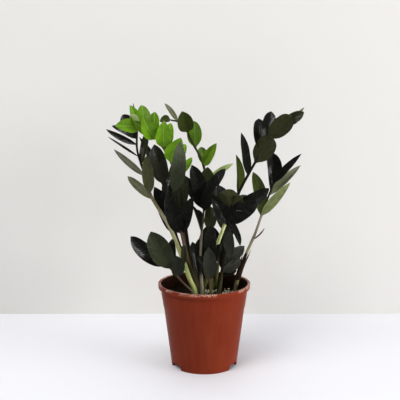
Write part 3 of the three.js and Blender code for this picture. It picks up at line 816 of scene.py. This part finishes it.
FRONDS["frond_low_middle"] = dict(
    slot="leaf_dark", thick=[6, 3],
    stem=[[12, 136, -54], [10, 160, -58], [13, 205, -64], [9, 256, -72]],
    skin=[[130, "olive"], [180, "brown"]],
    leaves=[
        ["slate", 10, 160, 8, 222, -14, 25, 10], ["dark", 13, 205, 12, 262, -14, 23, -15],
        ["dark_olive", 9, 254, 11, 298, 6, 22, 10], ["dark", 12, 178, 28, 228, 10, 18, -25],
        ["dark", 10, 170, -12, 206, 10, 14, 40],
    ],
)
FRONDS["frond_low_back"] = dict(
    slot="leaf_dark", thick=[5.5, 3.5],
    stem=[[-8, 136, 24], [-8, 150, 26], [-8, 172, 30]],
    skin=[[130, "brown"]],
    # These leaflets take the blackest tone, darker than their own colour, as painted shade deep between the
    # stems.
    leaves=[
        ["black", -8, 160, -22, 232, 14, 25, 10], ["black", -8, 168, -11, 237, 30, 18, -15],
        ["black", -8, 164, 22, 216, 26, 18, -20],
    ],
)
FRONDS["frond_low_right"] = dict(
    slot="leaf_grey_green", thick=[5.5, 3.5],
    stem=[[30, 136, -8], [33, 170, -12], [37, 192, -18]],
    skin=[[130, "brown"]],
    leaves=[
        # These two leaflets are grey with painted sheen.
        ["dusty", 37, 192, 74, 224, -18, 22, -10], ["dusty", 34, 176, 66, 202, -16, 22, 20],
        ["dark", 33, 170, 60, 178, -8, 16, -30], ["black", 35, 178, 37, 238, -6, 17],
    ],
)
FRONDS["frond_back_left"] = dict(
    slot="leaf_olive", thick=[8, 3],
    stem=[[-14, 138, 46], [-24, 190, 56], [-40, 250, 74], [-60, 330, 98]],
    skin=[[130, "olive"], [220, "brown"]],
    leaves=[
        ["dark_olive", -57, 318, -84, 372, 18, 24, 20], ["dark_olive", -60, 328, -50, 384, -16, 22],
        ["dark_olive", -58, 322, -36, 388, 18, 24, -20], ["dark_olive", -42, 258, -66, 306, 26, 24, 20],
        ["dark_olive", -50, 290, -28, 350, -18, 24, -20], ["dark_olive", -37, 240, -39, 284, 28, 20, -15],
        ["dark_olive", -46, 275, -58, 340, 10, 22, 10],
    ],
)
FRONDS["frond_back_right"] = dict(
    slot="leaf_olive", thick=[8, 3],
    stem=[[20, 138, 48], [26, 190, 60], [36, 250, 80], [45, 302, 100]],
    skin=[[130, "olive"], [220, "brown"]],
    leaves=[
        ["dark_olive", 45, 298, 62, 322, 16, 22, -15], ["dark_olive", 42, 285, 28, 336, -16, 24, 15],
        ["dark_olive", 42, 284, 78, 318, 18, 22, -20], ["dark_olive", 38, 262, 72, 292, -14, 22, -20],
        ["dark_olive", 36, 252, 24, 292, 26, 20, 20], ["black", 28, 205, 13, 262, -16, 22, 10],
        ["black", 31, 222, 54, 268, 14, 22, -15],
    ],
)
ROOT_END = 103  # how deep the stems reach, in mm
print(len(FRONDS), "fronds,", sum(len(f["leaves"]) for f in FRONDS.values()), "leaflets")

# %% [markdown]
# ## Skins of leaflet, underside and petiole
# A ZZ leaflet is thick and waxed. Its upper face has a smooth cuticle, nearly a varnish, so it gets a clear
# coat that ripples with the side veins, over an uneven body colour with thin grey streaks of painted sheen
# and wax bloom along the veins. The midrib is paler and lies in a shallow groove, and faint side veins lean
# forward, 5 mm apart. The underside is matt, with a raised midrib. The petiole is smooth and fleshy, with
# fine lengthwise lines and small dark flecks. Leaf cuticle has an IOR of about 1.45.

# %% Leaf materials
VEIN_STEP = 5.0  # mm between side veins
VEIN_LEAN = 0.9  # how far a side vein runs forward for each mm outwards
VEIN_WOBBLE, WOBBLE_SIZE = 3.0, 9  # mm
WAX_AND_SHEEN_STREAK, CLOUD_SIZE, COCKLE_SIZE, CUTICLE_GRAIN = 5, 14, 12, 0.8  # mm across
MIDRIB_EDGE, MIDRIB_FULL = 1.3, 0.35  # mm from the middle
# The grey of the streaks along the veins: painted sheen standing in for glossy streaks, and a faint wax
# bloom.
WAX_BLOOM_AND_SHEEN = "#7C7E70"


# bloom is the share of grey streaks of painted sheen and wax bloom in the colour.
def leaf_skin(name, vein_share, midrib_share, bloom, roughness, specular, coat, groove):
    """The skin of a leaflet's face. Its body colour is the point attribute tone, and its patterns follow the
    leaflet's own map in millimetres, across and along."""
    skin = new_material(name)
    tone = add(skin, "Attribute", attribute_name="tone")
    real = add(skin, "UVMap", uv_map="leaf_mm")
    across = add(skin, "SeparateXYZ", {"Vector": real}, out="X")
    along = add(skin, "SeparateXYZ", {"Vector": real}, out="Y")
    away = add(skin, "Math", {0: across}, operation="ABSOLUTE")
    slant = add(skin, "Math", {0: away, 1: -VEIN_LEAN, 2: along}, operation="MULTIPLY_ADD")

    # the colour: clouds, side veins, midrib, and grey streaks of painted sheen and wax bloom along the veins
    paler = add(skin, "HueSaturation", {"Color": tone, "Value": 1.55, "Saturation": 0.9})
    darker = add(skin, "HueSaturation", {"Color": tone, "Value": 0.62})
    cloud = mottled(skin, real, CLOUD_SIZE, 4)
    colour = tinted(skin, tone, darker, cloud, 0.4, 0.65, 0.9)
    wobble = mottled(skin, real, WOBBLE_SIZE, 2)
    wave = add(skin, "Math", {0: wobble, 1: VEIN_WOBBLE, 2: slant}, operation="MULTIPLY_ADD")
    wave = add(skin, "Math", {0: wave, 1: 2 * math.pi / VEIN_STEP}, operation="MULTIPLY")
    wave = add(skin, "Math", {0: wave}, operation="SINE")
    colour = tinted(skin, colour, paler, wave, 0.72, 1, vein_share)
    colour = tinted(skin, colour, paler, away, MIDRIB_EDGE, MIDRIB_FULL, midrib_share)
    streaks = add(skin, "CombineXYZ", {"X": across, "Y": slant})
    streaks = mottled(skin, streaks, WAX_AND_SHEEN_STREAK, 3, (0.3, 1, 1))
    colour = tinted(skin, colour, linear(WAX_BLOOM_AND_SHEEN), streaks, 0.45, 0.8, bloom)

    # the relief: cockles, ripples along the veins, cuticle grain, and the midrib
    cockle = mottled(skin, real, COCKLE_SIZE, 1, (1, 0.5, 1))
    cockle = add(skin, "Bump", {"Height": cockle, "Strength": 0.5, "Distance": 2.5 * MM})
    ripple = {"Height": wave, "Normal": cockle, "Strength": 0.14, "Distance": 0.4 * MM}
    ripple = add(skin, "Bump", ripple, invert=groove)
    grain = mottled(skin, real, CUTICLE_GRAIN, 2)
    grain = {"Height": grain, "Normal": ripple, "Strength": 0.04, "Distance": 0.2 * MM}
    grain = add(skin, "Bump", grain)
    rib = add(skin, "MapRange", {"Value": away, "From Min": MIDRIB_EDGE, "From Max": MIDRIB_FULL})
    rib = {"Height": rib, "Normal": grain, "Strength": 0.7, "Distance": 0.6 * MM}
    rib = add(skin, "Bump", rib, invert=groove)
    low, high = roughness - 0.05, roughness + 0.06
    rough = {"Value": cloud, "From Min": 0.3, "From Max": 0.7, "To Min": low, "To Max": high}
    rough = add(skin, "MapRange", rough)
    return finished(skin, {
        "Base Color": colour, "Roughness": rough, "Normal": rib, "IOR": 1.45, "Specular IOR Level": specular,
        "Coat Weight": coat, "Coat Roughness": 0.16, "Coat Normal": ripple,
    })


leaf_upper = leaf_skin("leaflet_waxed_cuticle", 0.14, 0.45, 0.07, 0.36, 0.3, 0.5, True)
leaf_young = leaf_skin("young_leaflet_cuticle", 0.3, 0.6, 0.0, 0.36, 0.2, 0.3, True)
leaf_under = leaf_skin("leaflet_matt_underside", 0.26, 0.65, 0.06, 0.50, 0.2, 0.0, False)

# %% Petiole material
PETIOLE_LINE, FLECK = 1.1, 1.6  # mm

petiole = new_material("petiole_fleshy_skin")
tone = add(petiole, "Attribute", attribute_name="tone")
where = add(petiole, "TexCoord", out="Object")
lines = mottled(petiole, where, PETIOLE_LINE * MM, 2, (1, 1, 0.07))
flecks = mottled(petiole, where, FLECK * MM, 1, (1, 1, 0.35))
paler = add(petiole, "HueSaturation", {"Color": tone, "Value": 1.18, "Saturation": 0.9})
darker = add(petiole, "HueSaturation", {"Color": tone, "Value": 0.55})
colour = tinted(petiole, tone, paler, lines, 0.35, 0.7, 0.6)
colour = tinted(petiole, colour, darker, flecks, 0.6, 0.68, 0.75)
relief = add(petiole, "Bump", {"Height": lines, "Strength": 0.25, "Distance": 0.3 * MM})
finished(petiole, {
    "Base Color": colour, "Normal": relief, "Roughness": 0.42, "IOR": 1.43, "Specular IOR Level": 0.15,
})

# %% [markdown]
# ## One leaflet as the pattern for all
# Every leaflet has the same cut: a narrow foot, broadest just before the middle and a drawn-out tip. So one
# is made at unit size. A grid is narrowed row by row to the outline, its columns are drawn in towards the
# midrib, the rows at the tip close to a point, and Solidify gives it an upper face and an underside with a
# material each.

# %% Leaflet master
BLADE_COLUMNS, BLADE_ROWS = 10, 18
BLADE_STATIONS = [0, 0.05, 0.12, 0.2, 0.35, 0.5, 0.65, 0.8, 0.9, 0.96, 1]
BLADE_WIDTHS = [0.12, 0.26, 0.56, 0.8, 0.96, 1, 0.96, 0.8, 0.54, 0.26, 0.0]
NARROW_WIDTHS = [0.12, 0.3, 0.6, 0.84, 0.99, 0.97, 0.85, 0.6, 0.35, 0.16, 0.0]
COLUMN_SHARES = [0, 0.08, 0.3, 0.56, 0.8, 1]  # of the half width, from the midrib outwards


def blade_width(share, widths=BLADE_WIDTHS):
    """A leaflet's width at a share of its length, as a share of its full width."""
    return float(np.interp(share, BLADE_STATIONS, widths))


only()
bpy.ops.mesh.primitive_grid_add(
    x_subdivisions=BLADE_COLUMNS, y_subdivisions=BLADE_ROWS, size=1, location=(0, 0.5, 0)
)
master = place_applied()
master.name = "leaflet_master"
bpy.ops.object.mode_set(mode="EDIT")
for k, share in enumerate(COLUMN_SHARES[1:-1], 1):
    at = k / (len(COLUMN_SHARES) - 1) / 2
    select_vertices(lambda co: abs(abs(co.x) - at) < 1e-4)
    bpy.ops.transform.resize(value=(share / (2 * at), 1, 1), center_override=(0, 0.5, 0))
for row in range(BLADE_ROWS + 1):
    at = row / BLADE_ROWS
    select_vertices(lambda co: abs(co.y - at) < 1e-4)
    bpy.ops.transform.resize(value=(max(blade_width(at), 1e-5), 1, 1), center_override=(0, at, 0))
bpy.ops.mesh.select_all(action="SELECT")
bpy.ops.mesh.remove_doubles(threshold=1e-4)
bpy.ops.object.mode_set(mode="OBJECT")
dressed(master, petiole, leaf_upper, leaf_under)
modified(master, "SOLIDIFY", thickness=1, offset=0)
for polygon in master.data.polygons:
    polygon.material_index = 2 if polygon.normal.z < -0.5 else 1
print("leaflet master:", len(master.data.vertices), "points,", len(master.data.polygons), "faces")

# %% [markdown]
# ## Laying a leaflet
# A copy of the pattern is laid from its joint on the stem to its tip. Its edges rise a little along the
# midrib like a shallow keel, its middle arches, its margins wave by under a millimetre, and it twists by a
# few degrees. These small differences make the light break differently on each leaflet. The copy also gets
# its map in millimetres and its tone.

# %% Leaflet on its stem
BLADE_MIDRIB, BLADE_EDGE = 0.95, 0.55  # mm thick
BLADE_FOLD, BLADE_ARCH = 0.42, 0.05  # shares of the width and of the length
BLADE_WAVE, BLADE_TWIST = 0.045, 9  # share of the width, degrees
SLENDER_FROM = 0.34  # width over length below which a leaflet starts to taper like a lance
MIDRIB_GROOVE = 0.3  # mm deep on the upper face, and as much proud on the underside
# Painted sheen: where a tone has a third colour, the upper face turns to it towards the tip.
PAINTED_SHEEN_FROM, PAINTED_SHEEN_REACH = 0.4, 0.4  # share of the length where a tip of another tone begins, and its run
YOUNG = ("lime", "lime_bright", "mid_lime", "green", "light_green")


def lay_leaflet(start, chance, tone, tip_x, tip_z, lean, width, turn=0, bow=0):
    """A copy of the leaflet master from its joint to its tip."""
    tip = place(tip_x, tip_z, start[1] + lean)
    length = np.linalg.norm(tip - start)
    along = (tip - start) / length
    normal = np.array([0, -1, 0]) + along[1] * along
    normal = Matrix.Rotation(math.radians(turn), 3, Vector(along)) @ Vector(normal / np.linalg.norm(normal))
    normal = np.array(normal)
    side = np.cross(normal, along)

    leaf = own_copy(master)
    flat = np.zeros(len(leaf.data.vertices) * 3)
    leaf.data.vertices.foreach_get("co", flat)
    x, share, face = flat.reshape(-1, 3).T
    half = np.array([max(blade_width(s), 1e-4) / 2 for s in share])
    out = np.clip(np.abs(x) / half, 0, 1)
    slender = np.clip((SLENDER_FROM - width / length) / SLENDER_FROM * 2, 0.6 if tone in YOUNG else 0, 1)
    drawn = [blade_width(s) * (1 - slender) + blade_width(s, NARROW_WIDTHS) * slender for s in share]
    x = x * np.array(drawn) / (2 * half)
    swing = 4 * share * (1 - share)
    thickness = BLADE_MIDRIB + (BLADE_EDGE - BLADE_MIDRIB) * out
    keel = (np.sqrt(out**2 + 0.05) - math.sqrt(0.05)) / (math.sqrt(1.05) - math.sqrt(0.05))
    rise = keel * BLADE_FOLD * half * width
    crest = BLADE_WAVE * width * chance.uniform(0.3, 1)
    waves = 2 * math.pi * (share * chance.uniform(1.2, 2.2) + chance.random())
    rise += crest * out**2 * swing * np.sin(waves + np.sign(x) * chance.uniform(0, 1.5))
    rise -= MIDRIB_GROOVE * np.clip(1 - out / 0.2, 0, 1) * swing
    twist = math.radians(chance.uniform(-BLADE_TWIST, BLADE_TWIST)) * (share - 0.4)
    across = x * width
    shift_side = across * np.cos(twist) - rise * np.sin(twist) + bow * swing
    shift_normal = across * np.sin(twist) + rise * np.cos(twist)
    shift_normal += BLADE_ARCH * length * swing + face * thickness
    points = start + np.outer(share * length, along) + np.outer(shift_side, side)
    points += np.outer(shift_normal, normal)
    leaf.data.vertices.foreach_set("co", (points * MM).ravel())

    corners = np.zeros(len(leaf.data.loops), np.int32)
    leaf.data.loops.foreach_get("vertex_index", corners)
    real = leaf.data.uv_layers.new(name="leaf_mm", do_init=False)
    real.uv.foreach_set("vector", np.stack([across, share * length], 1)[corners].astype(np.float32).ravel())
    upper, under, *painted_sheen = (np.array(linear(c)) for c in TONES[tone])
    # The upper face fades into the painted sheen towards its tip.
    if painted_sheen:
        reach = np.clip((share - PAINTED_SHEEN_FROM) / PAINTED_SHEEN_REACH, 0, 1) ** 1.5
        upper = upper + np.outer(reach, painted_sheen[0] - upper)
    colours = np.where((face > 0)[:, None], upper, under) * chance.uniform(0.88, 1.12)
    leaf.data.attributes.new("tone", "FLOAT_COLOR", "POINT").data.foreach_set("color", colours.ravel())
    if tone in YOUNG:
        leaf.data.materials[1] = leaf_young
    leaf.data.update()
    return leaf


# %% [markdown]
# ## A stem
# The stem is one smooth curve through its readings, with a round section that thins from the soil to the tip
# and swells slightly at each joint. A curve object with a bevel is the quickest way to draw it, and
# converting it gives a mesh whose points can carry the change from pale green near the soil to brown further
# up.

# %% Stem curve
STEM_STEP = 4.0  # mm between rings


def smooth_curve(points):
    """Points close together on the centripetal Catmull-Rom curve through the given ones."""
    padded = [2 * points[0] - points[1], *points, 2 * points[-1] - points[-2]]
    curve = []
    for p0, p1, p2, p3 in zip(padded, padded[1:], padded[2:], padded[3:]):
        d0, d1, d2 = (math.sqrt(np.linalg.norm(b - a)) for a, b in ((p0, p1), (p1, p2), (p2, p3)))
        leave = ((p1 - p0) / d0 - (p2 - p0) / (d0 + d1) + (p2 - p1) / d1) * d1
        arrive = ((p2 - p1) / d1 - (p3 - p1) / (d1 + d2) + (p3 - p2) / d2) * d1
        steps = max(3, round(np.linalg.norm(p2 - p1) / STEM_STEP))
        for t in np.arange(steps) / steps:
            curve.append(
                (2 * t**3 - 3 * t**2 + 1) * p1 + (t**3 - 2 * t**2 + t) * leave
                + (3 * t**2 - 2 * t**3) * p2 + (t**3 - t**2) * arrive
            )
    return np.array([*curve, points[-1]])


def stem_curve(frond):
    """The curve of a frond's stem, from its end in the soil."""
    readings = [place(x, z, y) for x, z, y in frond["stem"]]
    return smooth_curve([np.array([*readings[0][:2], ROOT_END]), *readings])


def joint_on(curve, x, z):
    """The point of the stem that is seen nearest to a reading."""
    finer = np.concatenate([curve[:-1] + (curve[1:] - curve[:-1]) * s for s in (0, 0.25, 0.5, 0.75)])
    seen = np.array([place(x, z, point[1]) for point in finer])
    return finer[np.argmin(np.linalg.norm(seen - finer, axis=1))]


# %% Stem
JOINT_SWELL, JOINT_REACH = 0.12, 5.0  # share of the radius, mm
END_SHARE = 0.45  # of the radius, at the very end of a stem


def stem_mesh(name, curve, thick, joints, skin):
    """A round stem along the curve. skin lists [height, tone] from the soil up."""
    data = bpy.data.curves.new(name, "CURVE")
    data.dimensions = "3D"
    data.bevel_depth = MM
    data.bevel_resolution = 2
    data.use_fill_caps = True
    spline = data.splines.new("POLY")
    spline.points.add(len(curve) - 1)
    run = np.concatenate([[0], np.cumsum(np.linalg.norm(np.diff(curve, axis=0), axis=1))])
    for point, at, far in zip(spline.points, curve, run):
        radius = (thick[0] + (thick[1] - thick[0]) * far / run[-1]) / 2
        near = min(np.linalg.norm(at - joint) for joint in joints)
        radius *= 1 + JOINT_SWELL * max(0, 1 - near / JOINT_REACH)
        point.co = (*(at * MM), 1)
        point.radius = radius if run[-1] - far > 1 else radius * END_SHARE
    stem = bpy.data.objects.new(name, data)
    bpy.context.scene.collection.objects.link(stem)
    only(stem)
    bpy.ops.object.convert(target="MESH")
    stem = bpy.context.object
    made_whole(stem)
    heights = [v.co.z / MM for v in stem.data.vertices]
    bands = np.array([linear(STEM_TONES[tone]) for _, tone in skin])
    colours = np.stack([np.interp(heights, [h for h, _ in skin], bands[:, k]) for k in range(4)], 1)
    stem.data.attributes.new("tone", "FLOAT_COLOR", "POINT").data.foreach_set("color", colours.ravel())
    dressed(stem, petiole)
    return stem


# %% Every frond, stem and leaflets joined
for name, frond in FRONDS.items():
    chance = random.Random(name)
    curve = stem_curve(frond)
    joints = [joint_on(curve, x, z) for _, x, z, *_ in frond["leaves"]]
    parts = [stem_mesh(name + "_stem", curve, frond["thick"], joints, frond["skin"])]
    for start, (tone, _, _, *reading) in zip(joints, frond["leaves"]):
        parts.append(lay_leaflet(start, chance, tone, *reading))
    piece = joined(name.replace("frond", "zz_frond"), parts)
    smoothed(piece, 50)
    fitted(piece, [name])
bpy.data.objects.remove(master)

# %% [markdown]
# ## The dried sheath
# Each petiole comes up through a papery sheath that dries and splits. One is left on the outer right
# petiole, dark brown, open at the back and torn at its upper edge. A grid is rolled round the petiole and
# given the thickness of parchment, with its upper edge pulled into ragged points.

# %% Sheath round the outer petiole
SHEATH_LOW, SHEATH_HIGH = 160, 206
SHEATH_OPEN = 150  # degrees left open at the back
SHEATH_PAPER, SHEATH_GAP, SHEATH_FLARE = 0.5, 0.45, 1.3  # mm

outer = FRONDS["frond_right_outer"]
outer_curve = stem_curve(outer)
only()
bpy.ops.mesh.primitive_grid_add(x_subdivisions=16, y_subdivisions=18, size=1)
sheath = bpy.context.object
sheath.name = "dried_sheath"
for vertex in sheath.data.vertices:
    across, along = vertex.co.x + 0.5, vertex.co.y + 0.5
    ragged = 1 + 0.16 * math.sin(across * 17 + 1) * along**3 + 0.1 * math.sin(across * 41) * along**4
    height = SHEATH_LOW + (SHEATH_HIGH - SHEATH_LOW) * along * ragged
    x, y = (np.interp(height, outer_curve[:, 2], outer_curve[:, k]) for k in (0, 1))
    angle = math.radians(SHEATH_OPEN / 2 + (360 - SHEATH_OPEN) * across + 90)
    radius = outer["thick"][0] / 2 + SHEATH_GAP + SHEATH_FLARE * along**2
    radius += 0.25 * math.sin(across * 23 + along * 5)
    vertex.co = Vector((x + radius * math.cos(angle), y + radius * math.sin(angle), height)) * MM
modified(sheath, "SOLIDIFY", thickness=SHEATH_PAPER * MM, offset=1)
made_whole(sheath)
smoothed(sheath, 60)

# %% Parchment, brown and fibrous from drying
PARCHMENT_DARK, PARCHMENT_BROWN = "#150D08", "#35251A"
FIBRE = 0.9  # mm

parchment = new_material("dried_sheath_parchment")
where = add(parchment, "TexCoord", out="Object")
fibre = mottled(parchment, where, FIBRE * MM, 3, (1, 1, 0.08))
colour = tinted(parchment, linear(PARCHMENT_DARK), linear(PARCHMENT_BROWN), fibre, 0.35, 0.7)
relief = add(parchment, "Bump", {"Height": fibre, "Strength": 0.6, "Distance": 0.4 * MM})
finished(parchment, {"Base Color": colour, "Normal": relief, "Roughness": 0.75, "Specular IOR Level": 0.15})
dressed(sheath, parchment)
fitted(sheath, ["sheath_right"])
